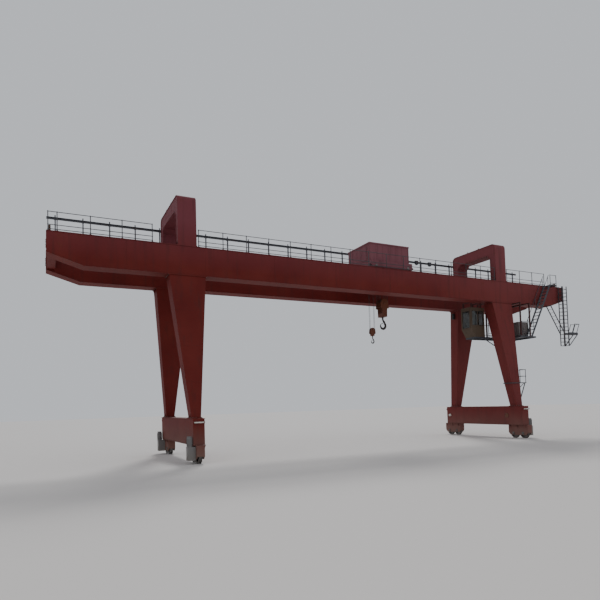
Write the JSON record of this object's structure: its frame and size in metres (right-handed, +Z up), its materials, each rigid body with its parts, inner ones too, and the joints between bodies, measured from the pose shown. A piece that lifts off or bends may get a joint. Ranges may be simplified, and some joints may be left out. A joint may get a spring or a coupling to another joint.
{
  "type": "gantry crane",
  "caption": "Yard gantry crane: twin box girders with tapered overhanging tips on A-shaped leg frames, a housed trolley with main and small hooks, cabin, decks and stairs.",
  "frame": {"origin": "on the ground, under the middle of the crane's box", "axes": "+X along the girders towards the cabin, +Y along the crane's travel to the rear, +Z up"},
  "size_m": [35.94, 7.66, 13.45],
  "materials": {
    "red_paint": "weathered satin red oxide paint",
    "house_paint": "weathered satin dark red paint",
    "block_paint": "worn dark red paint",
    "cabin_paint": "satin dark olive paint",
    "cabinet_paint": "satin dark grey paint",
    "rail_grey": "weathered grey paint",
    "dark_steel": "dark slate paint",
    "drive_grey": "light grey machine paint",
    "wheel_steel": "rolled bright on the tread, dark elsewhere",
    "rail_steel": "polished by the wheels on top, rusty below",
    "drum_steel": "greased dark steel",
    "rope": "greased wire",
    "hook_steel": "dark forged steel",
    "glass": "tinted clear glass"
  },
  "bodies": {
    "crane": {"front_girder": "red_paint", "rear_girder": "red_paint", "left_end_beam": "red_paint", "right_end_beam": "red_paint", "left_saddle": "red_paint", "right_saddle": "red_paint", "left_front_leg": "red_paint", "left_rear_leg": "red_paint", "right_front_leg": "red_paint", "right_rear_leg": "red_paint", "left_ground_beam": "red_paint", "right_ground_beam": "red_paint", "left_front_bogie": "red_paint", "left_rear_bogie": "red_paint", "right_front_bogie": "red_paint", "right_rear_bogie": "red_paint", "left_front_wheels": "wheel_steel", "left_rear_wheels": "wheel_steel", "right_front_wheels": "wheel_steel", "right_rear_wheels": "wheel_steel", "left_drives": "drive_grey", "right_drives": "drive_grey", "front_trolley_rail": "rail_steel", "rear_trolley_rail": "rail_steel", "left_handrail": "rail_grey", "middle_handrail": "rail_grey", "right_handrail": "rail_grey", "cable_track": "dark_steel", "cabin_shell": "cabin_paint", "cabin_roof": "cabin_paint", "cabin_glass": "glass", "cabin_hangers": "red_paint", "cabin_deck": "dark_steel", "deck_handrail": "rail_grey", "deck_cabinet": "cabinet_paint", "stairs": "dark_steel", "leg_landing": "rail_grey", "tip_ladder": "rail_grey", "tip_platform": "dark_steel"},
    "trolley": {"trolley_frame": "house_paint", "trolley_wheels": "wheel_steel", "trolley_house": "house_paint", "hoist_drums": "drum_steel", "main_ropes": "rope", "small_ropes": "rope", "main_hook_block": "block_paint", "small_hook_block": "block_paint"},
    "main_hook": {"main_hook": "hook_steel"},
    "small_hook": {"small_hook": "hook_steel"}
  },
  "joints": [
    {"name": "trolley_travel", "type": "slide", "parent": "crane", "child": "trolley", "axis": [1, 0, 0], "range_m": [-17.7, 13.4]},
    {"name": "main_hook_swivel", "type": "hinge", "parent": "trolley", "child": "main_hook", "pos_m": [1.77, 0, 8.32], "axis": [0, 0, 1], "continuous": true},
    {"name": "small_hook_swivel", "type": "hinge", "parent": "trolley", "child": "small_hook", "pos_m": [0.92, 0, 7], "axis": [0, 0, 1], "continuous": true}
  ]
}
